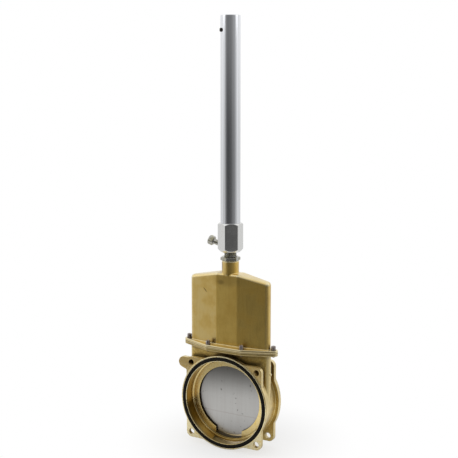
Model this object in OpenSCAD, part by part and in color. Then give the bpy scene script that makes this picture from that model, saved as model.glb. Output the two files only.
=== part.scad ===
// Flanged brass knife gate valve, worked by a single-acting hydraulic cylinder.
// Millimetres. X runs along the flange, Z is up, Y is the flow direction.
// The origin is the centre of the rear flange face, which bolts to the tank or pipe.
// The gate is drawn closed. It lifts by gate_travel to open.

/* [Bore and flanges] */
// Clear bore through the seats
bore_d = 150; // [140:1:152]
// Distance between the two flange faces
face_to_face = 70; // [66:1:76]
// Diameter of the round part of a flange
flange_d = 209; // [206:1:216]
// Thickness of a flange
flange_t = 10.5; // [9:0.5:12]
// How far a flange's round face stands proud of its ears
raised_face = 1; // [0:0.5:2]
// Spacing of the four bolt holes, both ways
bolt_pitch = 160; // [156:1:162]
// Diameter of the flange bolt holes
bolt_hole_d = 13; // [11:0.5:14]
// Radius of the metal round a flange bolt hole
ear_r = 12.5; // [11:0.5:14]
// Diameter of the recess in front of each seat ring
recess_d = 184; // [182:0.5:186]
// How much wider the rear flange is than the front one, at each side
rear_spread = 2.4; // [0:0.1:4]

/* [Housing] */
// Full width of the gate housing and of the bonnet
housing_w = 190.6; // [188:0.2:196]
// Depth of the housing, front to back, at its middle
housing_d = 36; // [34:1:40]
// Wall thickness of the cast housing
wall = 5; // [4:0.5:6]
// Height of the underside of the joint plates
plate_z = 112.5; // [110:0.5:116]
// Thickness of each of the two joint plates
plate_t = 6; // [5:0.5:8]
// Height of the bonnet's roof
roof_z = 283.5; // [280:0.5:290]
// Height of the top of the bonnet's neck
neck_z = 310.5; // [306:0.5:316]
// Diameter of the bonnet's neck
neck_d = 37; // [35:1:40]

/* [Gate] */
// Thickness of the gate blade
blade_t = 6; // [5:0.5:6]
// Full width of the gate blade
blade_w = 164; // [160:1:166]
// How far the gate lifts
gate_travel = 157; // [150:1:158]
// Diameter of the piston rod
rod_d = 18; // [16:1:18]

/* [Cylinder] */
// Width across flats of the hexagonal cylinder head
head_af = 48; // [46:1:52]
// Height of the lower end of the cylinder head
head_z = 329.6; // [326:0.2:334]
// Height of the shoulder that the cylinder tube stands on
tube_z = 392; // [388:1:396]
// Height of the top of the cylinder tube
tube_top_z = 824; // [815:1:830]
// Outer diameter of the cylinder tube
tube_d = 42.4; // [42:0.2:44]
// Wall thickness of the cylinder tube
tube_wall = 4; // [3:0.5:4]
// Upward tilt of the oil port
port_tilt = 18; // [0:1:20]

/* [Hidden] */
// Roundness of exact circles, and of the circles and balls inside a hull
$fn = 96;
hull_fn = 32;
// Gap or overlap used where a cut has to pass right through
cut = 1;

// Flow direction: the gate blade lies half way between the two faces.
mid_y = -face_to_face / 2;
front_y = -face_to_face;

// Flange outline and the things set into it
drum_d = 196;
groove_d = 195.8;
groove_w = 7.7;
groove_depth = 6.2;
ring_section = 7.6;
recess_edge = 1;
seat_gap = 0.3;
seat_face = 8;
seat_d = 176;
seat_notch_w = 64;
lug_x = -99.5;
lug_z = 78;
rib_x = -100;
rib_slant = 2;
rib_z = 58;
rib_drop = 10;
rib_t = 6;
rib_h = 21;

// Plan of the gate housing: two round ends and a flat middle
end_r = 10;
end_x = housing_w / 2 - end_r;
// How much wider the housing grows at each end, at the bonnet's foot and below the plates
foot_spread = 1;
body_spread = 2;
facet_x = 25;
facet_r = 6;
slot_t = 10;
pocket_z = 95;
nub_z = 69;
nub_d = 6;

// Joint plates, gasket and the six screws
gasket_t = 0.5;
bonnet_z = plate_z + plate_t + gasket_t;
plate_top = bonnet_z + plate_t;
end_screw_x = 104;
side_screw_x = 41;
side_screw_y = 27;
screw_places = [
    [-end_screw_x, 0], [end_screw_x, 0],
    [-side_screw_x, -side_screw_y], [side_screw_x, -side_screw_y],
    [-side_screw_x, side_screw_y], [side_screw_x, side_screw_y]
];
screw_d = 6;
screw_head_d = 10;
screw_head_h = 7;
screw_tip = 3.5;
end_corner_r = 9.5;
side_corner_r = 7.5;
washer_t = 1.6;

// Shoulders of the bonnet
shoulder_r = 8;
shoulder_z = roof_z - 19;
roof_edge_r = 5;
neck_root = 4;

// Rod, its seals and the screwed spigot of the cylinder head
slide_gap = 0.05;
spigot_d = 27;
spigot_z = neck_z - 20;
packing_z = spigot_z - 6;
nut_af = 38;
nut_h = 8.5;
chamber_d = 25;
chamber_z = 332;
rod_seal_z = 314;
rod_seal_h = 8;
rod_seal_d = 23;
head_turn = 3.5;
tube_id = tube_d - 2 * tube_wall;
pilot_h = 14;

// Gate, rod end and piston
blade_top = 101;
block_z = 99;
block_h = 16;
block_w = 34;
block_d = 20;
pin_d = 5;
pin_z = block_z + 11;
piston_z = tube_z + pilot_h + 4;
piston_h = 24;
piston_seal_h = 6;
piston_seal_d = 26;
rod_top = piston_z + piston_h + 10;
rod_nut_af = 19;
rod_thread_d = 12;

// Spring, end plug, breather and oil port
spring_z = piston_z + piston_h;
plug_h = 12;
plug_top = tube_top_z - 1.2;
spring_top = plug_top - plug_h;
spring_r = 13.9;
spring_wire = 3.6;
spring_turns = 13;
vent_z = 794;
vent_turn = -35;
vent_d = 8;
vent_out = 2.6;
vent_sink = 0.4;
port_turn = -86.5;
port_z = 344.5;
port_neck_d = 11.4;
port_neck_l = 16;
port_head_af = 19;
port_head_l = 11.5;
port_bore_d = 6;
port_thread_d = 11.8;
port_thread_l = 9;

brass = "#B59A5A";
steel = "#B9BBBC";
bright = "#D5D7D8";
rubber = "#1C1B19";

// ---- shared shapes ----

// Moves what is drawn about the gate's own plane to its place behind the front face.
module at_gate() {
    translate([0, mid_y, 0]) children();
}

// A solid of a front view outline, between two depths measured from the gate's plane.
module front_view(y0, y1) {
    translate([0, mid_y + y0, 0])
        rotate([90, 0, 0])
            mirror([0, 0, 1])
                linear_extrude(y1 - y0) children();
}

// A disc or hole along the flow direction, between two depths from the gate's plane.
module flow_disc(d, y0, y1) {
    translate([0, mid_y + y0, 0])
        rotate([-90, 0, 0])
            cylinder(d = d, h = y1 - y0);
}

// Plan of the gate housing, drawn in by inset for the inside of its wall and spread at its ends.
module housing_plan(inset, spread = 0) {
    hull() {
        for (side = [-1, 1]) {
            translate([side * (end_x + spread), 0]) circle(r = end_r - inset, $fn = hull_fn);
            for (face = [-1, 1])
                translate([side * facet_x, face * (housing_d / 2 - facet_r)])
                    circle(r = facet_r - inset, $fn = hull_fn);
        }
    }
}

// Plan of the joint plates: six round corners, each about a screw.
module plate_plan() {
    hull()
        for (place = screw_places)
            translate(place)
                circle(r = place[1] == 0 ? end_corner_r : side_corner_r, $fn = hull_fn);
}

// The six screw holes.
module screw_holes(d, z0, z1) {
    for (place = screw_places)
        translate([place[0], place[1], z0]) cylinder(d = d, h = z1 - z0);
}

// A flange: a raised disc over a square plate with an ear round each bolt hole.
module flange(side, spread) {
    face = face_to_face / 2;
    y0 = side < 0 ? -face : face - flange_t;
    flow_disc(flange_d + 2 * spread, y0, y0 + flange_t);
    front_view(y0 + (side < 0 ? raised_face : 0), y0 + flange_t - (side < 0 ? 0 : raised_face))
        hull()
            for (x = [-1, 1], z = [-1, 1])
                translate([x * (bolt_pitch / 2 + spread), z * bolt_pitch / 2])
                    circle(r = ear_r, $fn = hull_fn);
}

// The four bolt holes through each flange. They stop short of the gate housing.
module flange_holes() {
    for (x = [-1, 1], z = [-1, 1], y = [front_y, -flange_t])
        translate([x * bolt_pitch / 2, y - cut, z * bolt_pitch / 2])
            rotate([-90, 0, 0])
                cylinder(d = bolt_hole_d, h = flange_t + 2 * cut);
}

// A hexagonal bar with its corners turned off at both ends.
module chamfered_hex(af, h, low_d, low_h, top_d, top_h) {
    intersection() {
        rotate(30) cylinder(d = af / cos(30), h = h, $fn = 6);
        rotate_extrude()
            polygon([
                [0, 0], [low_d / 2, 0], [af, low_h + (af - low_d / 2) * 0.01],
                [af, low_h], [af, h - top_h], [top_d / 2, h], [0, h]
            ]);
    }
}

// ---- castings and what is fixed in them ----

module valve_body() {
    color(brass)
        difference() {
            union() {
                flange(-1, 0);
                flange(1, rear_spread);
                flow_disc(drum_d, -face_to_face / 2 + cut, face_to_face / 2 - cut);
                at_gate() linear_extrude(plate_z + cut) housing_plan(0, body_spread);
                at_gate() translate([0, 0, plate_z]) linear_extrude(plate_t) plate_plan();
                body_lug();
                translate([0, mid_y, nub_z])
                    rotate([0, 90, 0]) cylinder(d = nub_d, h = housing_w / 2 + body_spread + 2);
            }
            flow_disc(recess_d, -face_to_face / 2 - cut, -seat_face);
            flow_disc(recess_d, seat_face, face_to_face / 2 + cut);
            flow_disc(seat_d, -seat_face - cut, seat_face + cut);
            translate([0, mid_y, (plate_z + plate_t) / 2])
                cube([seat_d - 1, slot_t, plate_z + plate_t + cut], center = true);
            at_gate()
                translate([0, 0, pocket_z])
                    linear_extrude(plate_z + plate_t + cut - pocket_z) housing_plan(wall);
            groove();
            recess_mouth();
            flange_holes();
            at_gate() screw_holes(screw_d, plate_z - cut, plate_z + plate_t + cut);
        }
}

// Cast lug that carries the front flange's upper left ear outwards.
module body_lug() {
    front_view(-face_to_face / 2 + raised_face, -face_to_face / 2 + flange_t)
        hull() {
            translate([lug_x, lug_z]) circle(r = 12.5, $fn = hull_fn);
            translate([-84, lug_z]) circle(r = 12.5, $fn = hull_fn);
            translate([-86, 66]) circle(r = 6, $fn = hull_fn);
        }
    // Rib behind it, to the end of the housing.
    at_gate()
        hull() {
            translate([rib_x - rib_slant, flange_t - cut - face_to_face / 2, rib_z + rib_drop])
                cube([rib_t, 2 * cut, rib_h]);
            translate([rib_x, 0, rib_z]) cube([rib_t, rib_t, rib_h]);
        }
}

// Turned edge at the mouth of the front recess.
module recess_mouth() {
    translate([0, front_y - cut, 0])
        rotate([-90, 0, 0])
            cylinder(d1 = recess_d + 2 * (recess_edge + cut), d2 = recess_d, h = recess_edge + cut);
}

// Groove for the sealing ring in the front face.
module groove() {
    translate([0, front_y - cut, 0])
        rotate([-90, 0, 0])
            difference() {
                cylinder(d = groove_d + groove_w, h = groove_depth + cut);
                translate([0, 0, -cut])
                    cylinder(d = groove_d - groove_w, h = groove_depth + 3 * cut);
            }
}

// Seat ring with its bottom cut away, so that the blade's slot drains.
module seat_ring(side) {
    y0 = side < 0 ? -seat_face : blade_t / 2 + seat_gap;
    y1 = side < 0 ? -blade_t / 2 - seat_gap : seat_face;
    difference() {
        flow_disc(seat_d, y0, y1);
        flow_disc(bore_d, y0 - cut, y1 + cut);
        translate([0, mid_y, -seat_d / 2])
            cube([seat_notch_w, 4 * seat_face, seat_d * 0.7], center = true);
    }
}

module front_seat_ring() {
    color(brass) seat_ring(-1);
}

module rear_seat_ring() {
    color(brass) seat_ring(1);
}

module flange_o_ring() {
    color(rubber)
        translate([0, front_y + groove_depth - ring_section / 2, 0])
            rotate([90, 0, 0])
                rotate_extrude()
                    translate([groove_d / 2, 0]) circle(d = ring_section, $fn = 32);
}

module bonnet_gasket() {
    color(rubber)
        at_gate()
            difference() {
                translate([0, 0, plate_z + plate_t]) linear_extrude(gasket_t) plate_plan();
                translate([0, 0, plate_z]) linear_extrude(3 * plate_t) housing_plan(wall);
                screw_holes(screw_d + 0.6, plate_z, bonnet_z + cut);
            }
}

// Outside of the bonnet above its plate, with rounded shoulders and roof edges.
module bonnet_shell() {
    hull() {
        translate([0, 0, bonnet_z]) linear_extrude(cut) housing_plan(0, foot_spread);
        translate([0, 0, shoulder_z - cut]) linear_extrude(cut) housing_plan(0);
        for (side = [-1, 1], face = [-1, 1]) {
            translate([side * facet_x, face * (housing_d / 2 - roof_edge_r), roof_z - roof_edge_r])
                sphere(r = roof_edge_r, $fn = hull_fn);
            translate([side * (housing_w / 2 - shoulder_r), face * 2, shoulder_z])
                sphere(r = shoulder_r, $fn = hull_fn);
        }
    }
}

// Inside of the bonnet, where the open gate stands.
module bonnet_cavity() {
    hull() {
        translate([0, 0, bonnet_z - cut])
            linear_extrude(shoulder_z - bonnet_z + cut) housing_plan(wall);
        translate([0, 0, roof_z - wall - cut])
            linear_extrude(cut) square([2 * facet_x, housing_d - 4 * wall], center = true);
        translate([0, 0, shoulder_z + shoulder_r - wall - cut])
            linear_extrude(cut) square([2 * end_x - 4, end_r], center = true);
    }
}

module bonnet() {
    color(brass)
        at_gate()
            difference() {
                union() {
                    translate([0, 0, bonnet_z]) linear_extrude(plate_t) plate_plan();
                    bonnet_shell();
                    translate([0, 0, roof_z - neck_root])
                        cylinder(d = neck_d, h = neck_z - roof_z + neck_root);
                }
                bonnet_cavity();
                translate([0, 0, packing_z]) cylinder(d = spigot_d, h = neck_z - packing_z + cut);
                translate([0, 0, roof_z - 20]) cylinder(d = rod_d + 1, h = 40);
                screw_holes(screw_d + 0.6, bonnet_z - cut, plate_top + cut);
            }
}

// Socket-head screw through both plates, with its tip showing below.
module screw(i) {
    place = screw_places[i - 1];
    head_z0 = plate_top + washer_t;
    color(steel)
        at_gate()
            translate([place[0], place[1], 0])
                difference() {
                    union() {
                        translate([0, 0, plate_z - screw_tip])
                            cylinder(d = screw_d, h = head_z0 + cut - plate_z + screw_tip);
                        translate([0, 0, head_z0]) cylinder(d = screw_head_d, h = screw_head_h);
                    }
                    translate([0, 0, head_z0 + screw_head_h - 3.5])
                        cylinder(d = 5 / cos(30), h = 4, $fn = 6);
                }
}

module washer(i) {
    place = screw_places[i - 1];
    color(steel)
        at_gate()
            translate([place[0], place[1], plate_top])
                difference() {
                    cylinder(d = screw_head_d + 1, h = washer_t);
                    translate([0, 0, -cut]) cylinder(d = screw_d + 0.4, h = washer_t + 2 * cut);
                }
}

module rod_packing() {
    color(rubber)
        at_gate()
            translate([0, 0, packing_z])
                difference() {
                    cylinder(d = spigot_d, h = spigot_z - packing_z);
                    translate([0, 0, -cut]) cylinder(d = rod_d + 2 * slide_gap, h = 20);
                }
}

// ---- cylinder ----

module lock_nut() {
    color(steel)
        at_gate()
            translate([0, 0, neck_z])
                difference() {
                    rotate(head_turn) chamfered_hex(nut_af, nut_h, 35, 1.2, 35, 1.8);
                    translate([0, 0, -cut]) cylinder(d = spigot_d, h = nut_h + 2 * cut);
                }
}

// Places what is drawn along +X on the oil port's sloping axis.
module at_port(reach) {
    at_gate()
        rotate([0, 0, port_turn - 90])
            translate([head_af / 2, 0, port_z])
                rotate([0, -port_tilt, 0])
                    translate([reach, 0, 0]) rotate([0, 90, 0]) children();
}

module cylinder_head() {
    color(bright)
        difference() {
            at_gate() {
                translate([0, 0, spigot_z]) cylinder(d = spigot_d, h = head_z - spigot_z + cut);
                translate([0, 0, head_z])
                    rotate(head_turn)
                        chamfered_hex(head_af, tube_z - head_z, 42, 6.5, 49, 3.2);
                translate([0, 0, tube_z - cut]) cylinder(d = tube_id, h = pilot_h + cut);
            }
            at_gate() {
                translate([0, 0, spigot_z - cut]) cylinder(d = rod_d + 2 * slide_gap, h = 60);
                translate([0, 0, rod_seal_z]) cylinder(d = rod_seal_d, h = rod_seal_h);
                translate([0, 0, chamber_z]) cylinder(d = chamber_d, h = 100);
            }
            at_port(-16) cylinder(d = port_bore_d, h = 20);
            at_port(-6) cylinder(d = port_neck_d, h = 20);
        }
}

module rod_seal() {
    color(rubber)
        at_gate()
            translate([0, 0, rod_seal_z])
                difference() {
                    cylinder(d = rod_seal_d, h = rod_seal_h);
                    translate([0, 0, -cut]) cylinder(d = rod_d + 2 * slide_gap, h = 20);
                }
}

module cylinder_tube() {
    color(bright)
        difference() {
            at_gate()
                translate([0, 0, tube_z])
                    difference() {
                        cylinder(d = tube_d, h = tube_top_z - tube_z);
                        translate([0, 0, -cut])
                            cylinder(d = tube_id, h = tube_top_z - tube_z + 2 * cut);
                    }
            at_vent(0) cylinder(d = vent_d - 2, h = tube_d);
            at_vent(tube_d / 2 - vent_sink) cylinder(d = vent_d, h = vent_out);
        }
}

module end_plug() {
    color(steel)
        at_gate()
            translate([0, 0, plug_top - plug_h])
                rotate_extrude()
                    polygon([
                        [0, 0], [tube_id / 2, 0], [tube_id / 2, plug_h - 1.5],
                        [tube_id / 2 - 1.5, plug_h], [0, plug_h]
                    ]);
}

// Places what is drawn along +Z on the breather's radial axis.
module at_vent(reach) {
    at_gate()
        rotate([0, 0, vent_turn - 90])
            translate([reach, 0, vent_z]) rotate([0, 90, 0]) children();
}

module breather() {
    color("#3A3220")
        difference() {
            at_vent(tube_id / 2 + 0.5) cylinder(d = vent_d - 2, h = tube_wall);
            at_vent(tube_id / 2) cylinder(d = 2, h = 10);
        }
    color(brass)
        difference() {
            at_vent(tube_d / 2 - vent_sink) cylinder(d = vent_d, h = vent_out);
            at_vent(tube_id / 2) cylinder(d = 4, h = 10);
        }
}

module port_adapter() {
    color(steel)
        difference() {
            union() {
                at_port(-6) cylinder(d = port_neck_d, h = port_neck_l + 6 + cut);
                at_port(port_neck_l)
                    chamfered_hex(port_head_af, port_head_l, 18, 1, 18, 1.5);
            }
            at_port(-7) cylinder(d = port_bore_d, h = 60);
            at_port(port_neck_l + port_head_l - port_thread_l)
                cylinder(d = port_thread_d, h = port_thread_l + cut);
        }
}

// ---- moving gate ----

module gate_blade() {
    color("#9A9CA0")
        union() {
            flow_disc(blade_w, -blade_t / 2, blade_t / 2);
            translate([0, mid_y, blade_top / 2])
                cube([blade_w - 0.4, blade_t, blade_top], center = true);
        }
}

// Block on the blade's top edge that takes the rod's threaded end.
module rod_block() {
    color(steel)
        at_gate()
            difference() {
                translate([-block_w / 2, -block_d / 2, block_z]) cube([block_w, block_d, block_h]);
                translate([-block_w, -blade_t / 2, block_z - cut])
                    cube([2 * block_w, blade_t, blade_top - block_z + cut]);
                translate([0, 0, blade_top]) cylinder(d = rod_thread_d, h = block_h + cut);
                translate([-block_w, 0, pin_z]) rotate([0, 90, 0]) cylinder(d = pin_d, h = 3 * block_w);
            }
}

module block_pin() {
    color(bright)
        at_gate()
            translate([-block_w / 2, 0, pin_z])
                rotate([0, 90, 0]) cylinder(d = pin_d, h = block_w);
}

module piston_rod() {
    color(bright)
        at_gate()
            difference() {
                union() {
                    translate([0, 0, blade_top])
                        cylinder(d = rod_thread_d, h = rod_top - blade_top);
                    translate([0, 0, block_z + block_h])
                        cylinder(d = rod_d, h = piston_z - block_z - block_h);
                }
                translate([-block_w / 2, 0, pin_z])
                    rotate([0, 90, 0]) cylinder(d = pin_d, h = block_w);
            }
}

module piston() {
    color(steel)
        at_gate()
            translate([0, 0, piston_z])
                difference() {
                    cylinder(d = tube_id - 2 * slide_gap, h = piston_h);
                    translate([0, 0, -cut]) cylinder(d = rod_thread_d, h = piston_h + 2 * cut);
                    translate([0, 0, (piston_h - piston_seal_h) / 2])
                        difference() {
                            cylinder(d = tube_id + 2, h = piston_seal_h);
                            translate([0, 0, -cut])
                                cylinder(d = piston_seal_d, h = piston_seal_h + 2 * cut);
                        }
                }
}

module piston_seal() {
    color(rubber)
        at_gate()
            translate([0, 0, piston_z + (piston_h - piston_seal_h) / 2])
                difference() {
                    cylinder(d = tube_id - 2 * slide_gap, h = piston_seal_h);
                    translate([0, 0, -cut]) cylinder(d = piston_seal_d, h = piston_seal_h + 2 * cut);
                }
}

module piston_nut() {
    color(steel)
        at_gate()
            translate([0, 0, piston_z + piston_h])
                difference() {
                    chamfered_hex(rod_nut_af, 9, 18, 1, 18, 1);
                    translate([0, 0, -cut]) cylinder(d = rod_thread_d, h = 12);
                }
}

// Coil spring over the piston: five-sided wire swept along a helix.
module return_spring() {
    sides = 5;
    steps = 14;
    rings = spring_turns * steps;
    r = spring_wire / 2;
    z0 = spring_z + r;
    rise = spring_top - spring_z - spring_wire;
    points = [
        for (i = [0 : rings], k = [0 : sides - 1])
            let (turn = 360 * i / steps, a = 360 * k / sides)
                [
                    (spring_r + r * cos(a)) * cos(turn),
                    (spring_r + r * cos(a)) * sin(turn),
                    z0 + rise * i / rings + r * sin(a)
                ]
    ];
    walls = [
        for (i = [0 : rings - 1], k = [0 : sides - 1])
            let (n = (k + 1) % sides, a = i * sides)
                [a + k, a + k + sides, a + n + sides, a + n]
    ];
    ends = [
        [for (k = [0 : sides - 1]) k],
        [for (k = [0 : sides - 1]) rings * sides + sides - 1 - k]
    ];
    color(steel) at_gate() polyhedron(points, concat(walls, ends), convexity = 20);
}

valve_body();
front_seat_ring();
rear_seat_ring();
flange_o_ring();
bonnet_gasket();
bonnet();
screw(1);  // screw_1
screw(2);  // screw_2
screw(3);  // screw_3
screw(4);  // screw_4
screw(5);  // screw_5
screw(6);  // screw_6
washer(1);  // washer_1
washer(2);  // washer_2
washer(3);  // washer_3
washer(4);  // washer_4
washer(5);  // washer_5
washer(6);  // washer_6
rod_packing();
lock_nut();
cylinder_head();
rod_seal();
cylinder_tube();
end_plug();
breather();
port_adapter();
return_spring();
gate_blade();
rod_block();
block_pin();
piston_rod();
piston();
piston_seal();
piston_nut();
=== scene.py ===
"""Looks of a hydraulic knife gate valve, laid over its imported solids.

The frame gives every solid in metres: X along the flange, Z up, -Y out of the front face.
Castings are rounded copies of their solids, turned parts are lathed, fasteners, threads and the
return spring are grown by node trees, and what is left of the frame only gets its finish.
"""

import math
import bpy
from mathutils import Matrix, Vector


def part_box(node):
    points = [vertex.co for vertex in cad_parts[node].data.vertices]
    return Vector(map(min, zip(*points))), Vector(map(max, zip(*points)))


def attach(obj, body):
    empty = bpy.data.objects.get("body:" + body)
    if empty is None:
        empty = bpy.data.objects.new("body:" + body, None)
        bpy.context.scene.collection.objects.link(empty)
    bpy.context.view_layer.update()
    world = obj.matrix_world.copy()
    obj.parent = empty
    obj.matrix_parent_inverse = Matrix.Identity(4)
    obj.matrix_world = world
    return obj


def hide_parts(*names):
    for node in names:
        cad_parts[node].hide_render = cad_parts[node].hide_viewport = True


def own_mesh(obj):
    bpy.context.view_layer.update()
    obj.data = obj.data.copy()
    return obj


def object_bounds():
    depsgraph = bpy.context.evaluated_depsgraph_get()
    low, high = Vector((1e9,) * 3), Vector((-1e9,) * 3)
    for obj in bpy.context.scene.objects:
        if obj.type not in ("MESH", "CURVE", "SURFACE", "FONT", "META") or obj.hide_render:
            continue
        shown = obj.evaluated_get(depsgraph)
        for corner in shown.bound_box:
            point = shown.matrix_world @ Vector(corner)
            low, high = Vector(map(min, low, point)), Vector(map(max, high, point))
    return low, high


bl_info = {
    "name": "Knife Gate Valve",
    "version": (1, 0, 0),
    "blender": (4, 5, 0),
    "location": "View3D > Sidebar > Knife Gate",
    "description": "Dresses a hydraulic knife gate valve and sets it on a studio table",
    "category": "Object",
}

import bmesh
import bpy
from bpy.props import FloatProperty, FloatVectorProperty, IntProperty, PointerProperty
from mathutils import Matrix, Vector

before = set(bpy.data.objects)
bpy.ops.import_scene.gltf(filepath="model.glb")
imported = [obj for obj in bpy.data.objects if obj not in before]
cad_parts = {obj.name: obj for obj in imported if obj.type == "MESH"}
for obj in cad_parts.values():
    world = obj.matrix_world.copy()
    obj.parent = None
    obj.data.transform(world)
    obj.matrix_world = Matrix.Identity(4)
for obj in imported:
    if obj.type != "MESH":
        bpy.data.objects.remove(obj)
cad_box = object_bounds()

MM = 0.001
VALVE = "valve"

# The rod's upright axis stands over the body's middle plane.
ROD_X, MID_Y = 0.0, -0.035
UPRIGHT = Matrix.Translation((ROD_X, MID_Y, 0))
SCREWS = [f"screw_{i}" for i in range(1, 7)]
WASHERS = [f"washer_{i}" for i in range(1, 7)]

# Height of a screw thread's ridge, as a share of its pitch.
RIDGE = 0.5

# The oil fitting: the height of its foot, and its turn about the rod.
PORT_HEIGHT, PORT_TURN = 344.5 * MM, math.radians(-176.5)

# How light the room's walls are, by the angle from the valve's front towards its right.
WALLS = (
    (-180, 1.0), (-75, 1.0), (-50, 0.85), (-40, 0.65), (-27, 0.3), (-15, 0.1), (-3, 0.06),
    (12, 0.08), (35, 0.1), (50, 0.2), (65, 0.28), (78, 0.32), (90, 0.55), (103, 0.85), (115, 1.0),
)

# How far they fade to white, by the height looked up to or down to.
RISE = (
    (-1, 0.15), (-0.3, 0.15), (-0.17, 0), (-0.05, 0), (0.08, 0.14), (0.3, 0.2), (0.85, 1.0),
    (1, 1.0),
)

# The camera's place and its right, up and back directions.
CAMERA_AT = (0.8567, -1.6286, 0.6615)
CAMERA_AXES = ((0.88, 0.475, 0.0), (-0.0735, 0.1361, 0.988), (0.4693, -0.8694, 0.1546))


def linear(code):
    """Turns an sRGB hex colour into the linear RGBA that Blender works in."""
    channels = [int(code[i : i + 2], 16) / 255 for i in (1, 3, 5)]
    return (
        *[c / 12.92 if c <= 0.04045 else ((c + 0.055) / 1.055) ** 2.4 for c in channels],
        1.0,
    )


# ---- what a user may change ----


def length(name, description, default):
    return FloatProperty(
        name=name, description=description, default=default, min=0, subtype="DISTANCE",
        unit="LENGTH", precision=5,
    )


def count(name, description, default, least=0):
    return IntProperty(name=name, description=description, default=default, min=least)


def bearing(name, description, degrees):
    return FloatProperty(
        name=name, description=description, default=math.radians(degrees), subtype="ANGLE",
        unit="ROTATION",
    )


def colour(name, description, code):
    return FloatVectorProperty(
        name=name, description=description, default=linear(code), size=4, min=0, max=1,
        subtype="COLOR",
    )


class CastingSizes(bpy.types.PropertyGroup):
    body_grain: length("Body Grain", "Mesh size that rounds the body's edges", 0.75 * MM)
    bonnet_grain: length("Bonnet Grain", "Mesh size that rounds the bonnet's edges", 0.85 * MM)
    seat_grain: length("Seat Grain", "Mesh size that rounds the seat rings' edges", 0.5 * MM)
    body_passes: count("Body Passes", "Smoothing passes over the body", 4)
    bonnet_passes: count("Bonnet Passes", "Smoothing passes over the bonnet", 8)
    seat_passes: count("Seat Passes", "Smoothing passes over the seat rings", 2)
    triangles: count("Triangles", "Most triangles that a casting keeps", 190000, 1000)


class TurnedSizes(bpy.types.PropertyGroup):
    head_flats: length("Head Flats", "Width across the cylinder head's flats", 48 * MM)
    nut_flats: length("Nut Flats", "Width across the lock nut's flats", 38 * MM)
    port_flats: length("Port Flats", "Width across the oil fitting's flats", 19 * MM)
    spigot: length("Spigot", "Diameter of the threaded spigot under the head", 27 * MM)
    spigot_pitch: length("Spigot Pitch", "Rise of the spigot's thread in one turn", 2 * MM)
    port_pitch: length("Port Pitch", "Rise of the oil port's thread in one turn", 1.3 * MM)
    tube_bore: length("Tube Bore", "Inner diameter of the cylinder tube", 34.4 * MM)
    head_turn: bearing("Head Turn", "Turn of the hexagons about the rod", 3.5)
    port_tilt: bearing("Port Tilt", "Upward tilt of the oil fitting", 18)


class FastenerSizes(bpy.types.PropertyGroup):
    head: length("Head", "Diameter of a screw head", 10 * MM)
    head_height: length("Head Height", "Height of a screw head", 7 * MM)
    socket: length("Socket", "Width across the socket's flats", 5 * MM)
    shank: length("Shank", "Diameter of the screw thread", 6 * MM)
    pitch: length("Pitch", "Rise of the screw thread in one turn", 1.0 * MM)
    turn_seed: count("Turn Seed", "Seed of how far each is turned", 7)


class SpringSizes(bpy.types.PropertyGroup):
    wire: length("Wire", "Diameter of the spring's wire", 3.6 * MM)
    turns: FloatProperty(name="Turns", description="Number of coils", default=13, min=1)


class Finishes(bpy.types.PropertyGroup):
    brass: colour("Brass", "Skin of the cast brass", "#DCBA60")
    brass_deep: colour("Deep Brass", "Darker clouds in the cast brass", "#B8933C")
    tumbled: colour("Tumbled Brass", "Skin of the body, greener and paler", "#DBC072")
    # Painted shade: a darker brass laid on turned walls and low in the recess, where they lie in
    # shade.
    recess_shade: colour("Oiled Brass", "Turned walls under a film of oil", "#8F7433")
    # Brown of tarnished patches and stains, also laid as painted shade in corners and on the body's
    # plate.
    tarnish_and_shade: colour("Tarnish", "Brown in the casting's corners", "#5E4514")
    # Pale brass of worn edges and turned faces, also laid as a painted highlight on edges, on the
    # body's ends and on faces that look up.
    rubbed_and_lit: colour("Rubbed", "Edges and faces rubbed bright", "#E9DDB4")
    # Pale dull brass: a painted sheen on the bonnet's left face, where the light falls, and the
    # paler tone of the bonnet's plate and of the lowest turned walls.
    bloom_and_sheen: colour("Bloom", "Dull bloom on rubbed brass", "#CFC093")
    steel: colour("Steel", "Bright drawn steel", "#E4E6EA")
    plating: colour("Plating", "Clear zinc plating", "#E2E2E0")
    passivate: colour("Passivate", "Yellow-passivated zinc", "#9E9A80")
    dulled: colour("Dulled", "Stainless screws gone dull", "#9A8F8A")
    stainless: colour("Stainless", "Brushed gate, and the grey in thin plating", "#B9B8B5")
    rubber: colour("Rubber", "Sealing rings", "#0E0B07")
    fibre: colour("Fibre", "Fibre gasket and packing", "#A48C50")
    # Black of the breather's sintered bronze and of specks, also laid as painted shade in corners,
    # on the gate's upper part and as a painted shadow beside the gate.
    sinter_and_shade: colour("Sinter", "Sintered bronze and grime, black with oil", "#2C2618")


class Stage(bpy.types.PropertyGroup):
    table_radius: length("Table Radius", "Radius of the white table", 0.4)
    key_power: FloatProperty(
        name="Key Power", description="Strength of the left soft box", default=3.0, min=0,
        unit="POWER",
    )
    lens: FloatProperty(
        name="Lens", description="Focal length on a 36 mm sensor", default=67.26, min=1,
        unit="CAMERA",
    )


class KnifeGate(bpy.types.PropertyGroup):
    casting: PointerProperty(type=CastingSizes)
    turned: PointerProperty(type=TurnedSizes)
    fastener: PointerProperty(type=FastenerSizes)
    spring: PointerProperty(type=SpringSizes)
    finish: PointerProperty(type=Finishes)
    stage: PointerProperty(type=Stage)


# ---- nodes ----

SMOOTH = {"interpolation_type": "SMOOTHSTEP"}
COLOURS = {"data_type": "RGBA"}
METAL = {"Metallic": 1.0}

# What a noise mostly runs through.
NOISE_SPAN = (0.3, 0.7)


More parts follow.
